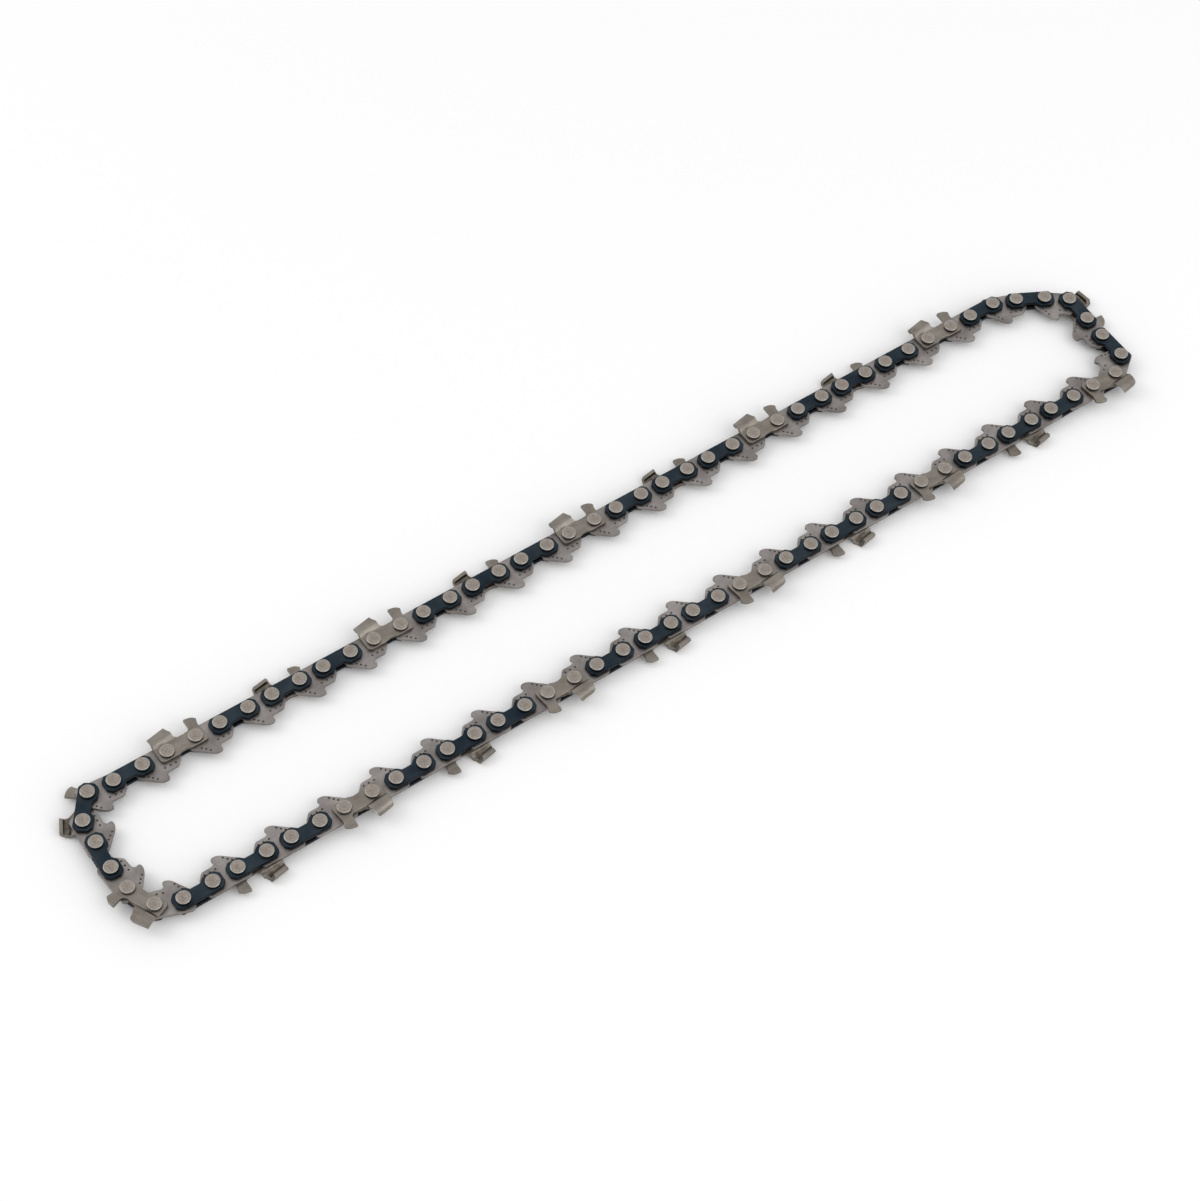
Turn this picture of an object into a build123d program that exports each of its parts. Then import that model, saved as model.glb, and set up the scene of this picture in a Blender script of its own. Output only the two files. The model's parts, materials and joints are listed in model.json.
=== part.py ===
from build123d import *
from math import acos, atan2, cos, degrees, hypot, radians, sin
import os

# Chainsaw chain loop lying flat on its side, millimetres, +Z up.
# The loop runs clockwise seen from above: +X along the upper run, -X along the lower run.
# Every link is drawn with its rear rivet at the origin, +X forward and +Y to the outside of the loop.

# Chain sizes
side_spacing = 10.04
drive_spacing = 8.60
cutters_per_hand = 11
tie_strap_thickness = 1.2
cutter_thickness = 1.2
drive_thickness = 1.27

# Fits between the pieces
side_clearance = 0.05
pivot_clearance = 0.05

# Rivets
hub_radius = 2.0
rivet_head_radius = 2.35
rivet_head_height = 0.95

# Tie strap outline
strap_outer_edge = 3.0
strap_inner_edge = 3.2
strap_end_reach = 3.4
strap_corner = 1.5
strap_waist_edge = 1.8
strap_waist_slope = 1.5
strap_land = 1.7

# Drive link outline
link_outer_edge = 3.7
link_end_reach = 3.2
link_corner = 1.0
tang_depth = 7.9
tang_tip_forward = 5.2
tang_tip_length = 2.0
tang_tip_round = 1.0
tang_belly_drop = 1.95
tang_belly_length = 2.7
tang_root_depth = 2.7
tang_root_curve = 1.0
notch_radius = 1.5
shoulder_depth = 5.3
shoulder_bevel_length = 2.2
shoulder_bevel_height = 2.5

# Cutter side plate, gullet and depth gauge
plate_inner_edge = 2.75
plate_rear_reach = 3.3
plate_front_reach = 3.3
plate_corner_radius = 1.2
plate_waist_rise = 0.6
plate_waist_margin = 2.6
gullet_floor = 3.6
gullet_radius = 1.6
gauge_height = 7.35
gauge_back = 0.4
gauge_crown_drop = 0.4
gauge_crown_length = 2.5
gauge_tip_forward = 3.45
gauge_tip_height = 5.7
gauge_neck_forward = 2.75
gauge_neck_height = 3.9

# Cutter top plate, flared out of the side plate and folded across the chain
top_plate_height = 8.1
top_plate_front = 3.8
top_plate_slope = 9
top_plate_reach = 0.6
flare_start = 3.5
flare_length = 1.9
flare_offset = 1.5
fold_radius = 1.4
file_radius = 2.4
file_drop = 1.4
file_angle = 30

# How the loop lies: headings of the links in each bend, in degrees, as (side links, drive link)
run_out_turn = 20
left_first = (112, 95)
left_last = (53, -5)
right_first = (-28, -38)
end_heading = -93

# Levels through the chain, from the middle of the drive links
plate_inside = drive_thickness / 2 + side_clearance
strap_face = plate_inside + tie_strap_thickness
cutter_face = plate_inside + cutter_thickness
rest_level = cutter_face + max(flare_offset, rivet_head_height)


def disc(radius, bottom, top, x):
    """A round bar along Z at a distance along the link."""
    bar = Cylinder(radius, top - bottom, align=(Align.CENTER, Align.CENTER, Align.MIN))
    return Pos(x, 0, bottom) * bar


def rivet(x, top_face, bottom_face):
    """A stepped rivet: a hub that carries the drive link and a head on each side plate."""
    hub = disc(hub_radius, -plate_inside, plate_inside, x)
    upper = disc(rivet_head_radius, plate_inside, top_face + rivet_head_height, x)
    lower = disc(rivet_head_radius, -bottom_face - rivet_head_height, -plate_inside, x)
    return hub + upper + lower


def tie_strap():
    """A tie strap on the upper side, with bevelled ends and a waist on its inner edge."""
    rear = -strap_end_reach
    front = side_spacing + strap_end_reach
    middle = side_spacing / 2
    waist = middle - strap_land - strap_waist_slope
    points = [
        (rear + strap_corner, strap_outer_edge),
        (front - strap_corner, strap_outer_edge),
        (front, strap_outer_edge - strap_corner),
        (front, strap_corner - strap_inner_edge),
        (front - strap_corner, -strap_inner_edge),
        (side_spacing - waist, -strap_inner_edge),
        (middle + strap_land, -strap_waist_edge),
        (middle - strap_land, -strap_waist_edge),
        (waist, -strap_inner_edge),
        (rear + strap_corner, -strap_inner_edge),
        (rear, strap_corner - strap_inner_edge),
        (rear, strap_outer_edge - strap_corner),
    ]
    outline = make_face(Polyline(*points, close=True))
    return Pos(0, 0, plate_inside) * extrude(outline, tie_strap_thickness)


def drive_link():
    """A drive link with its hooked tang, and a running bore at the front rivet."""
    rear = -link_end_reach
    front = drive_spacing + link_end_reach
    tip = tang_tip_forward
    heel = tip - tang_tip_length
    hook = tang_depth - shoulder_depth
    notch = min(notch_radius, 0.55 * hook)
    nose = min(tang_tip_round, 0.4 * hook)
    belly = (heel - tang_belly_length, tang_belly_drop - tang_depth)
    root = (rear + tang_root_curve, -tang_root_depth - tang_root_curve)
    notch_top = (tip + notch, -shoulder_depth)
    notch_side = (tip, -shoulder_depth - notch)
    shoulder_end = (front - shoulder_bevel_length, -shoulder_depth)
    bevel_end = (front, shoulder_bevel_height - shoulder_depth)
    with BuildSketch() as sketch:
        with BuildLine():
            RadiusArc(notch_top, notch_side, -notch)
            Line(notch_side, (tip, nose - tang_depth))
            RadiusArc((tip, nose - tang_depth), (tip - nose, -tang_depth), nose)
            Line((tip - nose, -tang_depth), (heel, -tang_depth))
            TangentArc((heel, -tang_depth), belly, tangent=(-1, 0))
            Line(belly, root)
            Polyline(
                root,
                (rear, -tang_root_depth),
                (rear, link_outer_edge - link_corner),
                (rear + link_corner, link_outer_edge),
                (front - link_corner, link_outer_edge),
                (front, link_outer_edge - link_corner),
                bevel_end,
                shoulder_end,
                notch_top,
            )
        make_face()
        Circle(hub_radius, mode=Mode.SUBTRACT)
        with Locations((drive_spacing, 0)):
            Circle(hub_radius + pivot_clearance, mode=Mode.SUBTRACT)
    return Pos(0, 0, -drive_thickness / 2) * extrude(sketch.sketch, drive_thickness)


def cutter():
    """A left-hand cutter: side plate, depth gauge, gullet and the filed and folded top plate."""
    rear = -plate_rear_reach
    front = side_spacing + plate_front_reach
    base = -plate_inner_edge
    corner = plate_corner_radius
    waist_start = (plate_waist_margin, base)
    waist_middle = (side_spacing / 2, base + plate_waist_rise)
    waist_end = (side_spacing - plate_waist_margin, base)
    back = side_spacing - gauge_back
    crown = (side_spacing - gauge_back + gauge_crown_length, gauge_height - gauge_crown_drop)
    tip = (side_spacing + gauge_tip_forward, gauge_tip_height)
    neck = (side_spacing + gauge_neck_forward, gauge_neck_height)
    slope = radians(top_plate_slope)
    rear_top = gullet_floor - (top_plate_front + plate_rear_reach) * sin(slope)

    with BuildSketch() as sketch:
        with BuildLine():
            Line((rear, rear_top), (rear, base + corner))
            RadiusArc((rear, base + corner), (rear + corner, base), -corner)
            Line((rear + corner, base), waist_start)
            ThreePointArc(waist_start, waist_middle, waist_end)
            Line(waist_end, (front - corner, base))
            RadiusArc((front - corner, base), (front, base + corner), -corner)
            Polyline((front, base + corner), (front, base + 2 * corner), neck, tip, crown)
            Polyline(crown, (back, gauge_height), (back, gullet_floor + gullet_radius))
            RadiusArc(
                (back, gullet_floor + gullet_radius), (back - gullet_radius, gullet_floor), gullet_radius
            )
            Polyline((back - gullet_radius, gullet_floor), (top_plate_front, gullet_floor), (rear, rear_top))
        make_face()
    plate = Pos(0, 0, plate_inside) * extrude(sketch.sketch, cutter_thickness)

    # The sheet is drawn as a section across the chain, Y outward and Z up, then run along the top plate.
    land = cutter_face + flare_offset
    flare_end = flare_start + flare_length
    inner_fold = fold_radius - cutter_thickness
    fold_start = top_plate_height - fold_radius
    with BuildSketch(Plane.YZ) as section:
        with BuildLine():
            Polyline(
                (flare_start - cutter_thickness, cutter_face),
                (flare_start, cutter_face),
                (flare_end, land),
                (fold_start, land),
            )
            RadiusArc((fold_start, land), (top_plate_height, land - fold_radius), fold_radius)
            Polyline(
                (top_plate_height, land - fold_radius),
                (top_plate_height, -top_plate_reach),
                (top_plate_height - cutter_thickness, -top_plate_reach),
                (top_plate_height - cutter_thickness, land - fold_radius),
                (top_plate_height - fold_radius, land - cutter_thickness),
                (flare_end + inner_fold, land - cutter_thickness),
                (flare_start + inner_fold, plate_inside),
                (flare_start - cutter_thickness, plate_inside),
                (flare_start - cutter_thickness, cutter_face),
            )
        make_face()
    length = top_plate_front + plate_rear_reach
    sheet = extrude(section.sketch, 2 * length, both=True)
    sheet = Pos(top_plate_front, 0, 0) * Rot(0, 0, top_plate_slope) * sheet
    blank = Box(
        length + gullet_radius, 4 * top_plate_height, 8 * rest_level,
        align=(Align.MIN, Align.CENTER, Align.CENTER),
    )
    sheet = sheet & (Pos(rear, 0, 0) * blank)

    # A round file laid across the chain shapes the gullet and leaves the working corner in front.
    file_height = top_plate_height - file_drop
    file_back = (file_radius**2 - file_drop**2) ** 0.5
    round_file = Rot(0, file_angle, 0) * Cylinder(file_radius, 16 * rest_level)
    round_file = Pos(top_plate_front + file_back, file_height, land) * round_file
    sheet = sheet - round_file
    gullet = Box(
        4 * gullet_radius, 4 * top_plate_height, 8 * rest_level, align=(Align.MIN, Align.MIN, Align.CENTER)
    )
    gullet = fillet(gullet.edges().filter_by(Axis.Z).group_by(Axis.Y)[0].sort_by(Axis.X)[0], gullet_radius)
    sheet = sheet - Pos(top_plate_front, gullet_floor, 0) * gullet
    return plate + sheet


def side_links(upper, upper_face, lower, lower_face):
    """One set of side links: an upper and a lower plate riveted into one piece."""
    rear = rivet(0, upper_face, lower_face)
    front = rivet(side_spacing, upper_face, lower_face)
    return upper + lower + rear + front


def link_headings(count):
    """The heading of each pitch's side links and drive link, clockwise from the joining strap."""
    lower_end = 2 * cutters_per_hand
    table = [(0, 0)] * count
    table[3:lower_end] = [(180, 180)] * (lower_end - 3)
    table[lower_end] = (180, 180 - run_out_turn)
    table[lower_end + 1] = left_first
    table[lower_end + 2] = (180 + end_heading, 180 + end_heading)
    table[lower_end + 3] = left_last
    table[count - 1] = (0, -run_out_turn)
    table[0] = right_first
    table[1] = (end_heading, end_heading)
    return table


def step(point, length, heading):
    """The point at a distance along a heading."""
    angle = radians(heading)
    return (point[0] + length * cos(angle), point[1] + length * sin(angle))


def lay_out(table):
    """Rear rivet, front rivet and both headings of every pitch. The third pitch closes the loop."""
    count = len(table)
    places = [None] * count
    point = (0, 0)
    for number in range(3, count + 2):
        side, drive = table[number % count]
        front = step(point, side_spacing, side)
        places[number % count] = (point, front, side, drive)
        point = step(front, drive_spacing, drive)
    start = places[3][0]
    across = hypot(start[0] - point[0], start[1] - point[1])
    toward = degrees(atan2(start[1] - point[1], start[0] - point[0]))
    lean = (side_spacing**2 + across**2 - drive_spacing**2) / (2 * side_spacing * across)
    side = toward + degrees(acos(lean))
    front = step(point, side_spacing, side)
    drive = degrees(atan2(start[1] - front[1], start[0] - front[0]))
    places[2] = (point, front, side, drive)
    return places


pitch_count = 4 * cutters_per_hand + 1
places = lay_out(link_headings(pitch_count))

strap = tie_strap()
strap_below = mirror(strap, about=Plane.XY)
strap_set = side_links(strap, strap_face, strap_below, strap_face)
left_set = side_links(cutter(), cutter_face, strap_below, strap_face)
right_set = mirror(left_set, about=Plane.XY)
link = drive_link()

# Straps and cutters take turns round the loop, with right and left hands in turn after the joining strap.
numbers = {"tie_strap_pitch": 0, "right_cutter_pitch": 0, "left_cutter_pitch": 0}
shapes = {"tie_strap_pitch": strap_set, "right_cutter_pitch": right_set, "left_cutter_pitch": left_set}
pitches = []
for number, (rear, front, side, drive) in enumerate(places):
    kind = "tie_strap_pitch"
    if number % 4 == 1:
        kind = "right_cutter_pitch"
    if number % 4 == 3:
        kind = "left_cutter_pitch"
    numbers[kind] += 1
    name = f"{kind}_{numbers[kind]:02d}"
    plates = shapes[kind].moved(Location((rear[0], rear[1], rest_level), (0, 0, side)))
    tang = link.moved(Location((front[0], front[1], rest_level), (0, 0, drive)))
    pitches.append((name, plates, tang))

# The loop's bounding box is centred on the origin, and its lowest faces lie on the ground.
solids = [solid for _, plates, tang in pitches for solid in (plates, tang)]
box = Compound(solids).bounding_box()
centre = Location((-box.center().X, -box.center().Y, 0))

os.makedirs("parts", exist_ok=True)
for name, plates, tang in pitches:
    pitch = Compound(label=name, children=[plates.moved(centre), tang.moved(centre)])
    export_step(pitch, f"parts/{name}.step")
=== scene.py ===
# %% [markdown]
# # A chainsaw chain loop
# A saw chain is made of flat steel links on rivets. Drive links run in the groove of the guide bar,
# tie straps join them in pairs, and every second pair of straps has a cutter in place of one strap.
# The frame holds the loop as plain solids, one body for each pitch of the chain, so this lesson
# models each kind of link once, in fine detail, and lays copies of it where the solids are.

import bpy
import json
from math import acos, atan2, cos, degrees, hypot, pi, radians, sin, sqrt
from mathutils import Matrix, Vector


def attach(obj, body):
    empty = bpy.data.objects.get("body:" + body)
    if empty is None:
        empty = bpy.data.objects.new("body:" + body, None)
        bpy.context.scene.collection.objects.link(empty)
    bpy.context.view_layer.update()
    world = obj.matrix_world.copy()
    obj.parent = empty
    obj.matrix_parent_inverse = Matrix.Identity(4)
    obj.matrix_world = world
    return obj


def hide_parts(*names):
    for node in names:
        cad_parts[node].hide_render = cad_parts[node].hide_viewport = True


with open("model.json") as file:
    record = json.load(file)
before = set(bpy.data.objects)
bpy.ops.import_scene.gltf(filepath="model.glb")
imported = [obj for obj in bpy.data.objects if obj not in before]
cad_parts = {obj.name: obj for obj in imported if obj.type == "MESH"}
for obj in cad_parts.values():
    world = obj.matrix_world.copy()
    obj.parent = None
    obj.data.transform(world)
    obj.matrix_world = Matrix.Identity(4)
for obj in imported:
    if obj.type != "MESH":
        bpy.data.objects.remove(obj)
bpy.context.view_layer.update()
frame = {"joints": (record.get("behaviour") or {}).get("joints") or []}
mm = 0.001

# %% [markdown]
# ## Where the links lie
# The loop lies flat with two straight runs and a bend at each end. Each pitch is a set of side links
# 10.04 mm from rivet to rivet, followed by a drive link of 8.60 mm. Walking round the loop with the
# heading of every link gives all rivets. The positions could be read off the solids one by one, but
# the walk is shorter and gives each link's heading as well. One hinge of the frame then says how far
# the walk has to be shifted.

# %% Headings of the links
# Each pitch has the heading of its side links and of its drive link, in degrees. Pitches 4 to 22 are the
# back run, 23 to 26 the left bend, 27 to 45 the front run, and 1 to 3 the right bend.
side_spacing = 10.04
drive_spacing = 8.60
cutters_per_hand = 11
pitch_count = 4 * cutters_per_hand + 1
closing = 2
first = closing + 1
left_bend = 2 * cutters_per_hand
headings = [(0, 0)] * pitch_count
headings[first:left_bend] = [(180, 180)] * (left_bend - first)
headings[left_bend : left_bend + 4] = [(180, 160), (112, 95), (87, 87), (53, -5)]
headings[-1] = (0, -20)
headings[:closing] = [(-28, -38), (-93, -93)]
print(pitch_count, "pitches, of which number", closing + 1, "closes the loop")


# %% Walk round the loop
def step(point, length, heading):
    """The point at a distance, in millimetres, along a heading."""
    return point + length * mm * Vector((cos(radians(heading)), sin(radians(heading))))


rear_rivets = [None] * pitch_count
front_rivets = [None] * pitch_count
point = Vector((0, 0))
for count in range(first, pitch_count + closing):
    index = count % pitch_count
    rear_rivets[index] = point
    front_rivets[index] = step(point, side_spacing, headings[index][0])
    point = step(front_rivets[index], drive_spacing, headings[index][1])
print("The walk ends", round((rear_rivets[first] - point).length / mm, 2), "mm from its start")

# %% Close the loop with the last pitch
# The gap and the two links of the last pitch make a triangle, and the cosine rule gives its angle.
gap = rear_rivets[first] - point
side, drive = side_spacing * mm, drive_spacing * mm
lean = acos((side**2 + gap.length_squared - drive**2) / (2 * side * gap.length))
side_heading = degrees(atan2(gap.y, gap.x) + lean)
rear_rivets[closing] = point
front_rivets[closing] = step(point, side_spacing, side_heading)
gap = rear_rivets[first] - front_rivets[closing]
headings[closing] = (side_heading, degrees(atan2(gap.y, gap.x)))
print("The last pitch closes the loop at headings", [round(h, 1) for h in headings[closing]])

# %% Shift the walk onto the solids
known_pivot = 10
hinge = next(j for j in frame["joints"] if j["name"] == f"pivot_{known_pivot}")
middle_level = hinge["pos_m"][2]
shift = Vector(hinge["pos_m"][:2]) - rear_rivets[known_pivot - 1]


def place_on_loop(rear, heading):
    """Where a link drawn at the origin goes, with its rear rivet here and this heading."""
    spot = Matrix.Translation((*(rear + shift), middle_level))
    return spot @ Matrix.Rotation(radians(heading), 4, "Z")


pitches = []
made = {"tie_strap_pitch": 0, "right_cutter_pitch": 0, "left_cutter_pitch": 0}
for index, (side_heading, drive_heading) in enumerate(headings):
    kind = {1: "right_cutter_pitch", 3: "left_cutter_pitch"}.get(index % 4, "tie_strap_pitch")
    made[kind] += 1
    side_place = place_on_loop(rear_rivets[index], side_heading)
    drive_place = place_on_loop(front_rivets[index], drive_heading)
    pitches.append((f"{kind}_{made[kind]:02d}", kind, side_place, drive_place))
print(made, "with the middle of the links", round(middle_level / mm, 3), "mm above the floor")

# %% [markdown]
# ## Steel in eight finishes
# The tie straps are blued, a thin dark oxide that is left when hot steel is quenched in oil, and their
# sides and underside are painted darker still as shade. The drive links are tumbled with stones, which
# leaves an even matt grey.
# The rivets were spun over by a tool that leaves rings on their heads. The cutters keep a warm grey under
# their hard plating, with a darker brown painted as shade on their sheared sides and inside the fold.
# Nearly all are metal, so their colour sits in the reflection. Clouds and grain come from noise with a
# size in millimetres. What has a direction, like rolling lines or rings, reads a map that the piece
# carries, in millimetres too. Pictures of steel would do as well, but they have one fixed sharpness.

# %% Colours and one function for nodes
def colour(code):
    """An sRGB hex code as the linear colour that Blender's sockets hold."""
    parts = [int(code[i : i + 2], 16) / 255 for i in (1, 3, 5)]
    return (*[c / 12.92 if c <= 0.04045 else ((c + 0.055) / 1.055) ** 2.4 for c in parts], 1.0)


def add(tree, kind, inputs=(), **settings):
    """Adds a node, sets its properties, and fills or links its inputs."""
    node = tree.nodes.new(kind)
    for key, value in settings.items():
        setattr(node, key, value)
    for socket, value in dict(inputs).items():
        if isinstance(value, bpy.types.NodeSocket):
            tree.links.new(value, node.inputs[socket])
        else:
            node.inputs[socket].default_value = value
    return node


def new_material(name):
    """A material with an empty Principled shader, its node tree and its object coordinates."""
    material = bpy.data.materials.new(name)
    material.use_nodes = True
    tree = material.node_tree
    spot = add(tree, "ShaderNodeTexCoord").outputs["Object"]
    return material, tree, tree.nodes["Principled BSDF"], spot


print("Half-bright grey, #808080, holds", round(colour("#808080")[0], 3), "of white's light")

# %% Steel sheet in three finishes
# Blued straps are nearly black with a blue cast and a satin gloss. Tumbled links are a matt grey with
# faint clouds. Hardened cutters are a warmer grey with rolling lines along the sheet.
# Each row: name, size of clouds in mm, share of lines, dark, light, least and most roughness, relief.
sheet_finishes = [
    ("oil_blued_steel", 9, 0.25, "#1f2932", "#353e44", 0.34, 0.52, 0.12),
    ("tumbled_steel", 6, 0.2, "#76716e", "#96918e", 0.36, 0.56, 0.2),
    ("hardened_cutter_steel", 5, 0.45, "#6f6962", "#8d877f", 0.34, 0.5, 0.12),
]
grain_size = 0.4
grain_depth = 0.05
lines_per_mm = (0.15, 3, 1)
steel = {}
for name, cloud_size, lined, dark, light, glossiest, dullest, relief in sheet_finishes:
    material, tree, shader, spot = new_material(name)
    cloud = add(tree, "ShaderNodeTexNoise", {"Vector": spot, "Scale": 1 / (cloud_size * mm), "Detail": 4})
    along = add(tree, "ShaderNodeUVMap", uv_map="rolled").outputs["UV"]
    drawn = add(tree, "ShaderNodeMapping", {"Vector": along, "Scale": lines_per_mm}).outputs["Vector"]
    lines = add(tree, "ShaderNodeTexNoise", {"Vector": drawn, "Scale": 1, "Detail": 3})
    mark = add(
        tree, "ShaderNodeMix", {"Factor": lined, 2: cloud.outputs["Fac"], 3: lines.outputs["Fac"]},
        data_type="FLOAT",
    )
    tint = add(tree, "ShaderNodeValToRGB", {"Fac": mark.outputs[0]})
    for element, position, code in zip(tint.color_ramp.elements, (0.35, 0.65), (dark, light)):
        element.position = position
        element.color = colour(code)
    grain = add(tree, "ShaderNodeTexNoise", {"Vector": spot, "Scale": 1 / (grain_size * mm), "Detail": 5})
    gloss = add(
        tree, "ShaderNodeMapRange",
        {"Value": grain.outputs["Fac"], "To Min": glossiest, "To Max": dullest},
    )
    bump = add(
        tree, "ShaderNodeBump",
        {"Height": grain.outputs["Fac"], "Strength": relief, "Distance": grain_depth * mm},
    )
    tree.links.new(tint.outputs["Color"], shader.inputs["Base Color"])
    tree.links.new(gloss.outputs["Result"], shader.inputs["Roughness"])
    tree.links.new(bump.outputs["Normal"], shader.inputs["Normal"])
    shader.inputs["Metallic"].default_value = 1.0
    steel[name] = material
print("Sheet finishes:", list(steel))

# %% Dark steel in four places
# The sides of a strap and its face on the drive links are painted near black as shade, and so is the flank
# of a rivet's head. A cutter's sheared sides and the inside of its fold are painted a darker brown as
# shade.
# The punched dots are painted dark. Each row: name, size of patches in mm, dark, light, share of metal,
# roughness.
dark_and_painted_shade = [
    ("blued_painted_shade", 1.2, "#0a0e13", "#1a222b", 0.9, 0.45),
    ("rivet_flank_painted_shade", 0.8, "#151413", "#36322e", 0.8, 0.45),
    ("cutter_painted_shade", 1.5, "#544e47", "#7a736a", 0.9, 0.42),
    ("dark_punch_mark", 0.3, "#1c1a18", "#4a4642", 0.0, 0.8),
]
for name, patch_size, dark, light, metal, roughness in dark_and_painted_shade:
    material, tree, shader, spot = new_material(name)
    patch = add(tree, "ShaderNodeTexNoise", {"Vector": spot, "Scale": 1 / (patch_size * mm), "Detail": 3})
    tint = add(tree, "ShaderNodeValToRGB", {"Fac": patch.outputs["Fac"]})
    for element, position, code in zip(tint.color_ramp.elements, (0.35, 0.7), (dark, light)):
        element.position = position
        element.color = colour(code)
    tree.links.new(tint.outputs["Color"], shader.inputs["Base Color"])
    shader.inputs["Metallic"].default_value = metal
    shader.inputs["Roughness"].default_value = roughness
    steel[name] = material
print("With the dark finishes there are", len(steel), "in all")

# %% Spun steel of the rivets
# The riveting tool leaves a browner middle and faint rings round each head, and the pale rim is a painted
# highlight. They follow the head, so they read the rivet's own map, where the distance from the middle is
# the radius in millimetres.
head_radius = 2.35
stain_size = 1.5
speck_size = 0.3
spun_steel, tree, shader, spot = new_material("spun_steel")
head = add(tree, "ShaderNodeUVMap", uv_map="turned").outputs["UV"]
radius = add(tree, "ShaderNodeVectorMath", {0: head}, operation="LENGTH").outputs["Value"]
stain = add(tree, "ShaderNodeTexNoise", {"Vector": spot, "Scale": 1 / (stain_size * mm), "Detail": 4})
band = add(tree, "ShaderNodeMapRange", {"Value": radius, "From Max": head_radius})
mark = add(
    tree, "ShaderNodeMix", {"Factor": 0.15, 2: band.outputs["Result"], 3: stain.outputs["Fac"]},
    data_type="FLOAT",
)
tint = add(tree, "ShaderNodeValToRGB", {"Fac": mark.outputs[0]})
speck = add(tree, "ShaderNodeTexNoise", {"Vector": spot, "Scale": 1 / (speck_size * mm), "Detail": 3})
soil = add(tree, "ShaderNodeValToRGB", {"Fac": speck.outputs["Fac"]})
# The pale stops near the edge paint a highlight on the rounded rim.
for ramp, positions, codes in (
    (tint.color_ramp, (0.1, 0.92), ("#928a82", "#b1afaa")),
    (soil.color_ramp, (0.38, 0.6), ("#d9d3cc", "#ffffff")),
):
    for element, position, code in zip(ramp.elements, positions, codes):
        element.position = position
        element.color = colour(code)
tint.color_ramp.elements.new(0.78).color = colour("#9f9993")
soiled = add(
    tree, "ShaderNodeMix", {"Factor": 1.0, 6: tint.outputs["Color"], 7: soil.outputs["Color"]},
    data_type="RGBA", blend_type="MULTIPLY",
)
tree.links.new(soiled.outputs[2], shader.inputs["Base Color"])
print("The tint of a head runs from its middle out to", head_radius, "mm")

# %% Rings and gloss of the spun steel
ring_depth = 0.06
rings = add(
    tree, "ShaderNodeTexWave", {"Vector": head, "Scale": 0.32, "Distortion": 1.2, "Detail": 2},
    wave_type="RINGS", rings_direction="Z",
)
gloss = add(tree, "ShaderNodeMapRange", {"Value": stain.outputs["Fac"], "To Min": 0.24, "To Max": 0.44})
bump = add(
    tree, "ShaderNodeBump",
    {"Height": rings.outputs["Fac"], "Strength": 0.12, "Distance": ring_depth * mm},
)
tree.links.new(gloss.outputs["Result"], shader.inputs["Roughness"])
tree.links.new(bump.outputs["Normal"], shader.inputs["Normal"])
shader.inputs["Metallic"].default_value = 1.0
steel["spun_steel"] = spun_steel
print("Finishes:", list(steel))

# %% [markdown]
# ## Drawing an outline by hand
# Every link starts as a flat outline. By hand one adds a plane, merges it to a single vertex and
# extrudes that vertex from point to point. These helpers do the same with the same operators. The
# other way is to write the points straight into a mesh, which is quicker to run but can't be followed
# in Blender's window.

# %% Start a piece and draw a line
def choose(*pieces):
    """Leaves edit mode and selects these pieces alone, with the last one active."""
    if bpy.context.mode != "OBJECT":
        bpy.ops.object.mode_set(mode="OBJECT")
    bpy.ops.object.select_all(action="DESELECT")
    for piece in pieces:
        piece.select_set(True)
        bpy.context.view_layer.objects.active = piece


def start(name):
    """A new piece in edit mode, with a single vertex at the origin and nothing else selected."""
    choose()
    bpy.ops.mesh.primitive_plane_add(size=mm)
    piece = bpy.context.object
    piece.name = name
    bpy.ops.object.mode_set(mode="EDIT")
    bpy.ops.mesh.select_mode(type="VERT")
    bpy.ops.mesh.select_all(action="SELECT")
    bpy.ops.mesh.merge(type="CENTER")
    return piece


def trace(points):
    """Extrudes the selected vertex from point to point, given in millimetres."""
    spots = [Vector(p).to_3d() * mm for p in points]
    bpy.ops.transform.translate(value=spots[0])
    for a, b in zip(spots, spots[1:]):
        bpy.ops.mesh.extrude_vertices_move(TRANSFORM_OT_translate={"value": b - a})


print("Points are given in millimetres, and 1 mm is", mm, "in Blender")

# %% [markdown]
# ## The rivet
# A rivet is turned: a thick hub in the middle carries the drive link, a thinner neck passes through each
# side plate, and a head is spun over it. Half of its section is traced and spun round the axis. A
# cylinder with bevels would give nearly the same outside, but the section also has the neck, the dished
# head and the slight undercut below the head, whose flank is painted dark as shade round it.

# %% The section of the rivet
hub_radius = 2.0
neck_radius = 1.5
plate_inside = 0.685
plate_outside = 1.885
head_height = 0.95
head_top = plate_outside + head_height
stem = [
    (hub_radius, 0, plate_inside),
    (neck_radius, 0, plate_inside),
    (neck_radius, 0, plate_outside),
]
head_flank = [
    (head_radius - 0.2, 0, plate_outside),
    (head_radius - 0.03, 0, head_top - 0.3),
    (head_radius, 0, head_top - 0.2),
    (head_radius - 0.04, 0, head_top - 0.09),
    (head_radius - 0.13, 0, head_top - 0.02),
]
dished_top = [
    (head_radius - 0.28, 0, head_top),
    (head_radius - 0.5, 0, head_top - 0.04),
    (0.5, 0, head_top - 0.05),
    (0.35, 0, head_top - 0.1),
    (0, 0, head_top - 0.1),
]
upper_half = stem + head_flank + dished_top
lower_half = [(x, y, -z) for x, y, z in reversed(upper_half)]
print("The section has", len(lower_half + upper_half), "points and is", round(2 * head_top, 2), "mm tall")

# %% Select, paint and finish
smooth_angle = 50


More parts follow.
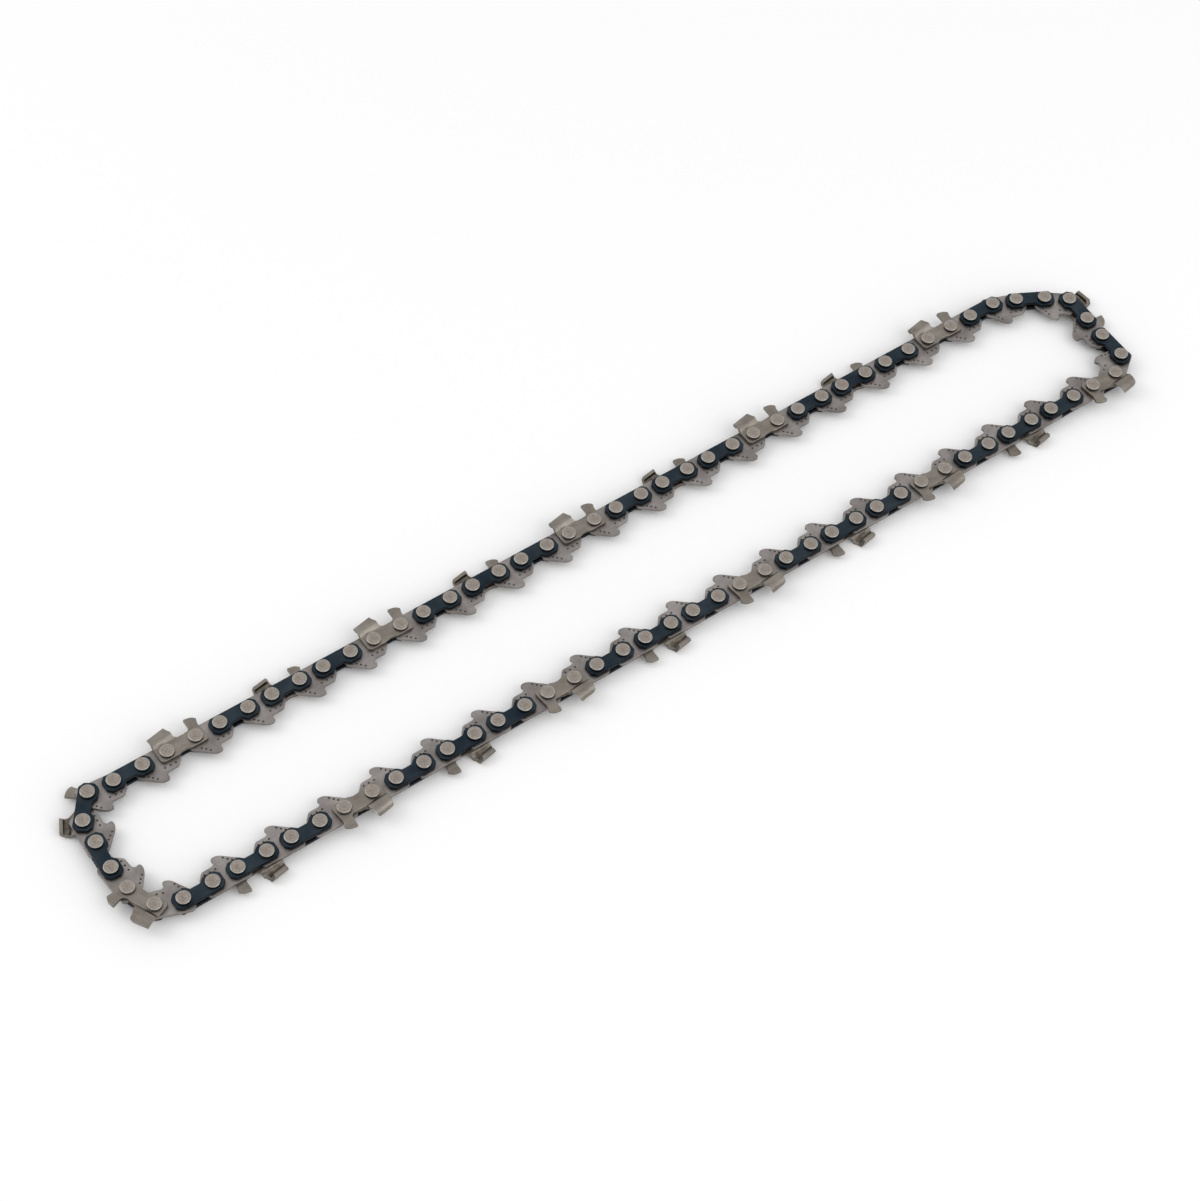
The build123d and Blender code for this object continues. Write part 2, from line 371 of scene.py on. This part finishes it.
def pick(kind, test):
    """Selects the vertices, edges or faces that pass a test of their place in millimetres."""
    bpy.ops.mesh.select_mode(type=kind)
    bpy.ops.mesh.select_all(action="DESELECT")
    bpy.ops.object.mode_set(mode="OBJECT")
    mesh = bpy.context.object.data
    if kind == "VERT":
        for v in mesh.vertices:
            v.select = test(v.co / mm)
    if kind == "EDGE":
        for e in mesh.edges:
            ends = [mesh.vertices[v].co / mm for v in e.vertices]
            e.select = test(*ends)
    if kind == "FACE":
        for f in mesh.polygons:
            f.select = test(f.center / mm)
    bpy.ops.object.mode_set(mode="EDIT")


def paint(slot):
    """Gives the selected faces the material in one of the piece's slots."""
    bpy.context.object.active_material_index = slot
    bpy.ops.object.material_slot_assign()


def modify(piece, kind, **settings):
    """Adds a modifier to a piece and applies it."""
    choose(piece)
    bpy.ops.object.modifier_add(type=kind)
    modifier = piece.modifiers[-1]
    for key, value in settings.items():
        setattr(modifier, key, value)
    bpy.ops.object.modifier_apply(modifier=modifier.name)


def settle(piece):
    """Smooth shading over rounded edges, with flat faces kept flat."""
    choose(piece)
    bpy.ops.object.shade_smooth_by_angle(angle=radians(smooth_angle))
    modify(piece, "WEIGHTED_NORMAL", keep_sharp=True, weight=50)
    size = [round(d / mm, 2) for d in piece.dimensions]
    print(piece.name, "has", len(piece.data.polygons), "faces and measures, in mm,", size)


def map_flat(piece, name, slant=0):
    """Gives a piece a map that holds each point's place along and across it, in millimetres."""
    flat = piece.data.uv_layers.new(name=name)
    for loop in piece.data.loops:
        spot = piece.data.vertices[loop.vertex_index].co / mm
        flat.data[loop.index].uv = (spot.x, spot.y + slant * spot.z)
    print(piece.name, "carries the map", name, "from", [round(v, 2) for v in flat.data[0].uv], "mm")


print("Faces that meet under", smooth_angle, "degrees are shaded as one")

# %% Spin the rivet
round_steps = 24
weld = 0.01
flank_bottom, flank_top = plate_outside + 0.1, head_top - 0.26
rivet = start("rivet")
trace(lower_half + upper_half)
bpy.ops.mesh.select_all(action="SELECT")
bpy.ops.mesh.spin(steps=round_steps, angle=2 * pi, center=(0, 0, 0), axis=(0, 0, 1))
bpy.ops.mesh.select_all(action="SELECT")
bpy.ops.mesh.remove_doubles(threshold=weld * mm)
bpy.ops.mesh.normals_make_consistent(inside=False)
rivet.data.materials.append(steel["spun_steel"])
rivet.data.materials.append(steel["rivet_flank_painted_shade"])
# The flank of each head is painted dark as shade below its rounded rim.
pick("FACE", lambda c: flank_bottom < abs(c.z) < flank_top)
paint(1)
settle(rivet)
map_flat(rivet, "turned")

# %% [markdown]
# ## The tie strap
# A strap is stamped from strip: a bar with bevelled ends, a long straight outer edge and a waist on the
# side that faces the bar. The outline is traced with its corners, filled, and thickened. Its sides, its
# narrow bevelled rim and the face that lies on the drive links are painted darker as shade.
# A box with bevels could do for the bar, but not for the waist.

# %% Fill, round and thicken an outline
near = 0.02


def fill():
    """Closes the traced outline and fills it with one face that looks up."""
    bpy.ops.mesh.select_all(action="SELECT")
    bpy.ops.mesh.edge_face_add()
    bpy.ops.object.mode_set(mode="OBJECT")
    down = bpy.context.object.data.polygons[0].normal.z < 0
    bpy.ops.object.mode_set(mode="EDIT")
    bpy.ops.mesh.select_all(action="SELECT")
    if down:
        bpy.ops.mesh.flip_normals()


def round_corner(corner, reach, steps):
    """Rounds a corner of the outline, starting this far along its two edges."""
    pick("VERT", lambda p: hypot(p.x - corner[0], p.y - corner[1]) < near)
    bpy.ops.mesh.bevel(offset=reach * mm, segments=steps, affect="VERTICES")


def thicken(bottom, top):
    """Lowers the filled outline to its bottom level and extrudes it up to its top level."""
    bpy.ops.mesh.select_mode(type="FACE")
    bpy.ops.mesh.select_all(action="SELECT")
    bpy.ops.transform.translate(value=(0, 0, bottom * mm))
    bpy.ops.mesh.extrude_region_move(TRANSFORM_OT_translate={"value": (0, 0, (top - bottom) * mm)})
    bpy.ops.mesh.select_all(action="SELECT")
    bpy.ops.mesh.normals_make_consistent(inside=False)


def level(a, b):
    """True for an edge that lies flat, as the rims of a thickened outline do."""
    return abs(a.z - b.z) < weld


print("A corner is found within", near, "mm of its place")

# %% Trace the tie strap
strap_round = 0.25
strap_rear, strap_front = -3.4, 13.44
strap_outer, strap_inner, strap_waist = 3.0, -3.2, -1.8
strap_corners = [
    (-1.9, strap_outer), (11.94, strap_outer),
    (strap_front, 1.5), (strap_front, -1.7),
    (11.94, strap_inner), (8.22, strap_inner),
    (6.72, strap_waist), (3.32, strap_waist),
    (1.82, strap_inner), (-1.9, strap_inner),
    (strap_rear, -1.7), (strap_rear, 1.5),
]
tie_strap = start("tie_strap")
trace(strap_corners)
fill()
for corner in strap_corners:
    round_corner(corner, strap_round, 2)
print("The strap is", round(strap_front - strap_rear, 2), "mm long")

# %% Cut with a tool
drill_length = 20


def cut_away(piece, tool):
    """Takes a tool's shape out of a piece and throws the tool away."""
    modify(piece, "BOOLEAN", operation="DIFFERENCE", solver="EXACT", object=tool)
    bpy.data.objects.remove(tool)


def bore(piece, radius, places):
    """Cuts round holes through a piece, at these distances along the link."""
    for x in places:
        choose()
        bpy.ops.mesh.primitive_cylinder_add(
            vertices=round_steps, radius=radius * mm, depth=drill_length * mm, location=(x * mm, 0, 0)
        )
        cut_away(piece, bpy.context.object)


print("Holes have", round_steps, "sides, as many as a rivet")

# %% Thicken, finish and bore the tie strap
strap_rim = 0.12
below_top = plate_outside - 0.1
thicken(plate_inside, plate_outside)
tie_strap.data.materials.append(steel["oil_blued_steel"])
tie_strap.data.materials.append(steel["blued_painted_shade"])
# The strap's sides and its face on the drive links are painted near black as shade.
pick("FACE", lambda c: c.z < below_top)
paint(1)
# The bevelled rim is painted with the same shade.
pick("EDGE", level)
bpy.ops.mesh.bevel(offset=strap_rim * mm, segments=2, affect="EDGES", material=1)
bore(tie_strap, neck_radius, (0, side_spacing))
settle(tie_strap)
map_flat(tie_strap, "rolled")

# %% [markdown]
# ## The drive link
# The drive link is the deepest piece. Its tang reaches into the groove of the bar, with a hooked tip that
# drags oil along and a notch that the sprocket's tooth fits. Small punched dots follow its edges. The
# hook and the notch are traced as curves, and the other corners are traced sharp and rounded afterwards.
# Circles cut out of a plain blank would make the notch as well, but they leave the hook's tip to chance.

# %% Trace the drive link
link_half = 0.635
corner_round, shoulder_round = 0.4, 0.6
outer_corners = [(-3.2, 2.7), (-2.2, 3.7), (10.8, 3.7), (11.8, 2.7)]
shoulder = [(11.8, -2.8), (9.6, -5.3)]
notch = [(6.2, -5.3), (5.65, -5.45), (5.2, -5.82), (5.0, -6.3), (5.06, -6.7)]
hook = [(5.2, -7.05), (5.1, -7.5), (4.75, -7.82), (4.2, -7.95), (3.2, -7.85), (2.3, -7.48), (1.45, -6.85)]
tang_back = [(0.6, -6.07)]
root_corners = [(-2.2, -3.7), (-3.2, -2.7)]
drive_link = start("drive_link")
trace(outer_corners + shoulder + notch + hook + tang_back + root_corners)
fill()
for corner in outer_corners + root_corners:
    round_corner(corner, corner_round, 2)
for corner in shoulder:
    round_corner(corner, shoulder_round, 2)
print("The tang reaches", -min(y for x, y in hook), "mm below the rivets")

# %% Thicken and bore the drive link
# It sits tight on the hub behind it and turns on the hub in front, with a little clearance.
link_rim = 0.13
clearance = 0.05
thicken(-link_half, link_half)
drive_link.data.materials.append(steel["tumbled_steel"])
drive_link.data.materials.append(steel["dark_punch_mark"])
pick("EDGE", level)
bpy.ops.mesh.bevel(offset=link_rim * mm, segments=2, affect="EDGES")
bore(drive_link, hub_radius, (0,))
bore(drive_link, hub_radius + clearance, (drive_spacing,))
print("The link is", 2 * link_half, "mm thick and has", len(drive_link.data.polygons), "faces")

# %% Punch the dots
# Each is the mark of a blunt cone that goes in to half its height.
cone_tip, cone_top, cone_height = 0.02, 0.72, 0.7
dot_reach = 0.42
dots = [(5.5, -3.98), (7.4, -3.98), (9.25, -3.98), (-0.3, -4.0), (0.65, -5.0), (1.65, -6.15)]
for x, y in dots:
    for face, turn in ((-1, pi), (1, 0)):
        choose()
        bpy.ops.mesh.primitive_cone_add(
            vertices=8, radius1=cone_tip * mm, radius2=cone_top * mm, depth=cone_height * mm,
            location=(x * mm, y * mm, face * link_half * mm), rotation=(turn, 0, 0),
        )
        cut_away(drive_link, bpy.context.object)


def in_dot(c):
    """True for a face that lies below the surface, in one of the dots."""
    nearest = min(hypot(c.x - x, c.y - y) for x, y in dots)
    return abs(c.z) < link_half - near and nearest < dot_reach


bpy.ops.object.mode_set(mode="EDIT")
# The faces inside the punched dots are painted dark.
pick("FACE", in_dot)
paint(1)
settle(drive_link)
map_flat(drive_link, "rolled")

# %% [markdown]
# ## The cutter
# A cutter is one piece of sheet: a side plate with a depth gauge at the front, and behind the gullet a
# flank that is flared out of the plate and folded over into the top plate. The plate is traced first. Then
# the section through the flank is traced twice, in front and behind, where it is lower and less flared,
# and a bridge between the two makes the bent sheet. Solidify gives it its thickness. The edges are
# rounded before a round file, a plain cylinder at 25 degrees, is taken away, because what is filed
# stays sharp. A block cut by many tools would do as well, but the real one is bent sheet.

# %% Trace the side plate
gullet_floor = 2.9
rear_floor = 2.45
flank_root = 5.3
plate_rear, plate_front, plate_base = -3.3, 13.34, -2.75
middle = side_spacing / 2
waist_half, waist_top, waist_drop = 2.42, -2.15, 0.6
waist = [(middle + waist_half * t, waist_top - waist_drop * t * t) for t in (-1, -0.6, -0.2, 0.2, 0.6, 1)]
rear_corner, front_corner = (plate_rear, plate_base), (plate_front, plate_base)
gauge_root, gauge_neck, gauge_tip = (plate_front, -0.35), (12.79, 3.9), (13.49, 5.7)
gauge_crown, gauge_back, gullet_corner = (12.14, 6.95), (9.64, 7.35), (9.64, gullet_floor)
left_cutter = start("left_cutter")
trace([
    (plate_rear, rear_floor), rear_corner, *waist, front_corner, gauge_root, gauge_neck, gauge_tip,
    gauge_crown, gauge_back, gullet_corner, (flank_root, gullet_floor),
])
fill()
bpy.ops.transform.translate(value=(0, 0, plate_outside * mm))
for corner, reach, steps in (
    (rear_corner, 1.2, 4), (front_corner, 1.2, 4), (gullet_corner, 1.6, 5), (gauge_root, 0.8, 3),
    (gauge_neck, 0.7, 3), (gauge_tip, 0.3, 2), (gauge_crown, 0.8, 3), (gauge_back, 0.3, 2),
):
    round_corner(corner, reach, steps)
print("The depth gauge stands", round(gauge_back[1] - gullet_floor, 2), "mm above the gullet")

# %% Sections through the flank
# The root's places along the link come with their share of the flare's height.
fold_steps = 6
fold_turns = [i * pi / (2 * fold_steps) for i in range(fold_steps + 1)]
fold_drop = 1.6
top_plate_edge = 0.25
flare = 1.5
top_height = 8.1


def flank(root, floor, flare_end, flare_height, fold_start, top, edge_x):
    """The section through the flank: up the flare, along the land, round the fold, down the top plate."""
    land = plate_outside + flare_height
    points = []
    for x, share in root:
        points.append((x, floor + share * (flare_end - floor), plate_outside + share * flare_height))
    for turn in fold_turns:
        y = fold_start + (top - fold_start) * sin(turn)
        points.append((root[-1][0], y, land - fold_drop * (1 - cos(turn))))
    return points + [(edge_x, top, top_plate_edge)]


front_flank = flank(
    root=((flank_root, 0), (4.5, 0.18), (4.1, 0.5), (4.0, 1)), floor=gullet_floor,
    flare_end=4.4, flare_height=flare, fold_start=5.5, top=top_height, edge_x=4.0,
)
rear_flank = flank(
    root=[(plate_rear, share) for share in (0, 0.18, 0.5, 1)], floor=rear_floor,
    flare_end=3.7, flare_height=1.2, fold_start=4.6, top=6.95, edge_x=-2.9,
)
front_line = start("front_line")
trace(front_flank)
rear_line = start("rear_line")
trace(rear_flank)
print("Each section has", len(front_flank), "points")

# %% Bridge the sections and give the sheet its thickness
sheet_thickness = 1.2
choose(front_line, rear_line, left_cutter)
bpy.ops.object.join()
bpy.ops.object.mode_set(mode="EDIT")
pick("EDGE", lambda a, b: max(abs(a.z - plate_outside), abs(b.z - plate_outside)) > weld)
bpy.ops.mesh.bridge_edge_loops()
bpy.ops.mesh.select_mode(type="VERT")
bpy.ops.mesh.select_all(action="SELECT")
bpy.ops.mesh.remove_doubles(threshold=weld * mm)
bpy.ops.mesh.normals_make_consistent(inside=False)
bpy.ops.object.mode_set(mode="OBJECT")
side_face = max(left_cutter.data.polygons, key=lambda f: f.area)
if side_face.normal.z < 0:
    bpy.ops.object.mode_set(mode="EDIT")
    bpy.ops.mesh.flip_normals()
left_cutter.data.materials.append(steel["hardened_cutter_steel"])
left_cutter.data.materials.append(steel["cutter_painted_shade"])
# The inner face of the sheet takes the second slot, a darker colour painted as shade inside the fold.
modify(
    left_cutter, "SOLIDIFY", thickness=sheet_thickness * mm, offset=-1.0, use_even_offset=True,
    use_quality_normals=True, material_offset=1,
)
print("The bent sheet has", len(left_cutter.data.polygons), "faces")

# %% Round its edges and paint its sheared sides
cutter_rim = 0.18
sharp_angle = 55
neck_level, flank_front = 4.5, 4
rim_width = 0.25
modify(
    left_cutter, "BEVEL", width=cutter_rim * mm, segments=2, limit_method="ANGLE",
    angle_limit=radians(sharp_angle), material=0,
)


def sheared(c):
    """True for the sides of the plate, up to the neck of the depth gauge."""
    in_plate = c.y < neck_level and (c.y < rear_floor or c.x > flank_front)
    return in_plate and plate_inside + rim_width < c.z < plate_outside - rim_width


bpy.ops.object.mode_set(mode="EDIT")
pick("FACE", lambda c: c.y < gullet_floor or c.x > flank_root)
paint(0)
# The sheared sides of the plate are painted darker as shade.
pick("FACE", sheared)
paint(1)
print("With rounded edges it has", len(left_cutter.data.polygons), "faces")

# %% File and bore it
file_radius = 2.4
file_height = 6.7
file_angle = 25
file_length = 60
cutting_edge = 3.9
file_front = cutting_edge + sqrt(file_radius**2 - (top_height - file_height) ** 2)
choose()
bpy.ops.mesh.primitive_cylinder_add(
    vertices=40, radius=file_radius * mm, depth=file_length * mm,
    rotation=(0, radians(file_angle), 0),
    location=(file_front * mm, file_height * mm, (plate_outside + flare) * mm),
)
cut_away(left_cutter, bpy.context.object)
bore(left_cutter, neck_radius, (0, side_spacing))
print("Filed and bored, it has", len(left_cutter.data.polygons), "faces")

# %% Mirror it for the other hand
choose(left_cutter)
bpy.ops.object.duplicate()
right_cutter = bpy.context.object
right_cutter.name = "right_cutter"
bpy.ops.object.mode_set(mode="EDIT")
bpy.ops.mesh.select_all(action="SELECT")
bpy.ops.transform.resize(value=(1, 1, -1), center_override=(0, 0, 0))
bpy.ops.mesh.normals_make_consistent(inside=False)
bpy.ops.object.mode_set(mode="OBJECT")
for cutter in (left_cutter, right_cutter):
    settle(cutter)
    map_flat(cutter, "rolled", 1)

# %% [markdown]
# ## Laying out the copies
# Each link is copied to its place in the loop and gets a mesh of its own, with the place in the mesh.
# A copy rides on the body of its pitch and stands for that body's plain solid. A lower strap is an upper
# strap turned over along its length. Instances of one mesh would be lighter, but pieces that move on
# their own want their own mesh.

# %% A function that lays a copy
turn_over = Matrix.Diagonal((1, 1, -1, 1))
to_front = Matrix.Translation((side_spacing * mm, 0, 0))


def lay(master, name, place, pitch):
    """A copy of a link, in its place, on its pitch."""
    copy = bpy.data.objects.new(name, master.data.copy())
    bpy.context.scene.collection.objects.link(copy)
    copy.data.transform(place)
    if place.is_negative:
        copy.data.flip_normals()
    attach(copy, pitch)
    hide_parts(pitch)
    return copy


print("The front rivet lies", round(to_front.translation.x / mm, 2), "mm ahead of the rear one")

# %% Copy the links round the loop
pieces = []
for pitch, kind, side_place, drive_place in pitches:
    tag = pitch.replace("_pitch", "")
    if kind == "left_cutter_pitch":
        pieces.append(lay(left_cutter, f"{tag}_tooth", side_place, pitch))
    else:
        pieces.append(lay(tie_strap, f"{tag}_upper_strap", side_place, pitch))
    if kind == "right_cutter_pitch":
        pieces.append(lay(right_cutter, f"{tag}_tooth", side_place, pitch))
    else:
        pieces.append(lay(tie_strap, f"{tag}_lower_strap", side_place @ turn_over, pitch))
    pieces.append(lay(drive_link, f"{tag}_drive_link", drive_place, pitch))
    pieces.append(lay(rivet, f"{tag}_rear_rivet", side_place, pitch))
    pieces.append(lay(rivet, f"{tag}_front_rivet", side_place @ to_front, pitch))
for master in (rivet, tie_strap, drive_link, left_cutter, right_cutter):
    bpy.data.objects.remove(master)
print(len(pieces), "pieces with", sum(len(p.data.polygons) for p in pieces), "faces in all")

# %% [markdown]
# ## Floor, light and camera
# The loop lies on a white table in even light. The floor is matt white and takes a soft shadow. A broad
# lamp from the front brings out the rounded rims of the rivets, and a dimmer one from behind keeps the
# far edges from going flat. The world is white where a camera, a mirror or a glass looks at it, and a
# little dimmer as a light. A picture of a studio would give richer reflections, but it is a file apart.

# %% Floor
# The matt white of the table gives the eye nothing but the shadow of the loop.
floor_width = 2.4
choose()
bpy.ops.mesh.primitive_plane_add(size=floor_width)
floor = bpy.context.object
floor.name = "floor"
matt_white, tree, shader, spot = new_material("matt_white_table")
shader.inputs["Base Color"].default_value = colour("#ffffff")
shader.inputs["Roughness"].default_value = 0.9
shader.inputs["Specular IOR Level"].default_value = 0.0
floor.data.materials.append(matt_white)
print("The floor is", floor_width, "m wide")

# %% World
as_light, as_seen = 0.75, 1.0
world = bpy.data.worlds.new("white_studio")
bpy.context.scene.world = world
world.use_nodes = True
tree = world.node_tree
ray = add(tree, "ShaderNodeLightPath").outputs
seen = add(
    tree, "ShaderNodeMath", {0: ray["Is Camera Ray"], 1: ray["Is Glossy Ray"]}, operation="MAXIMUM"
)
seen = add(
    tree, "ShaderNodeMath", {0: seen.outputs[0], 1: ray["Is Transmission Ray"]}, operation="MAXIMUM"
)
strength = add(
    tree, "ShaderNodeMapRange", {"Value": seen.outputs[0], "To Min": as_light, "To Max": as_seen}
)
background = tree.nodes["Background"]
tree.links.new(strength.outputs["Result"], background.inputs["Strength"])
background.inputs["Color"].default_value = colour("#ffffff")
print("The world's strength is", as_seen, "where it is seen and", as_light, "as a light")

# %% Lamps
# Each row: name, place in metres, width in metres, power in watts.
lamps = [("front_lamp", (0.5, -1.2, 0.9), 1.4, 8), ("back_lamp", (-0.9, 0.9, 1.1), 0.9, 5)]
for name, place_of_lamp, width, watts in lamps:
    bpy.ops.object.light_add(type="AREA", location=place_of_lamp)
    light = bpy.context.object
    light.name = name
    light.data.size = width
    light.data.energy = watts
    light.rotation_euler = (-Vector(place_of_lamp)).to_track_quat("-Z", "Y").to_euler()
    print(name, "gives", watts, "watts")

# %% Camera
# The camera stands 924 mm from the loop, 55 degrees above the table, and is tilted by 4 degrees.
azimuth, elevation, roll = radians(-38.308), radians(55.298), radians(3.986)
distance = 923.6 * mm
aim = Vector((-16.692 * mm, -4.174 * mm, middle_level + head_top * mm))
look = Vector((-sin(azimuth) * cos(elevation), cos(azimuth) * cos(elevation), -sin(elevation)))
right = Vector((cos(azimuth), sin(azimuth), 0))
up = right.cross(look)
tilted_right = cos(roll) * right + sin(roll) * up
tilted_up = cos(roll) * up - sin(roll) * right
bpy.ops.object.camera_add(location=aim - look * distance)
camera = bpy.context.object
camera.rotation_euler = Matrix((tilted_right, tilted_up, -look)).transposed().to_euler()
camera.data.sensor_fit = "HORIZONTAL"
camera.data.sensor_width = 36
camera.data.lens = 87.1425
bpy.context.scene.camera = camera
bpy.context.scene.view_settings.view_transform = "Standard"
print("Camera at", [round(v, 3) for v in camera.location], "lens", round(camera.data.lens, 1))
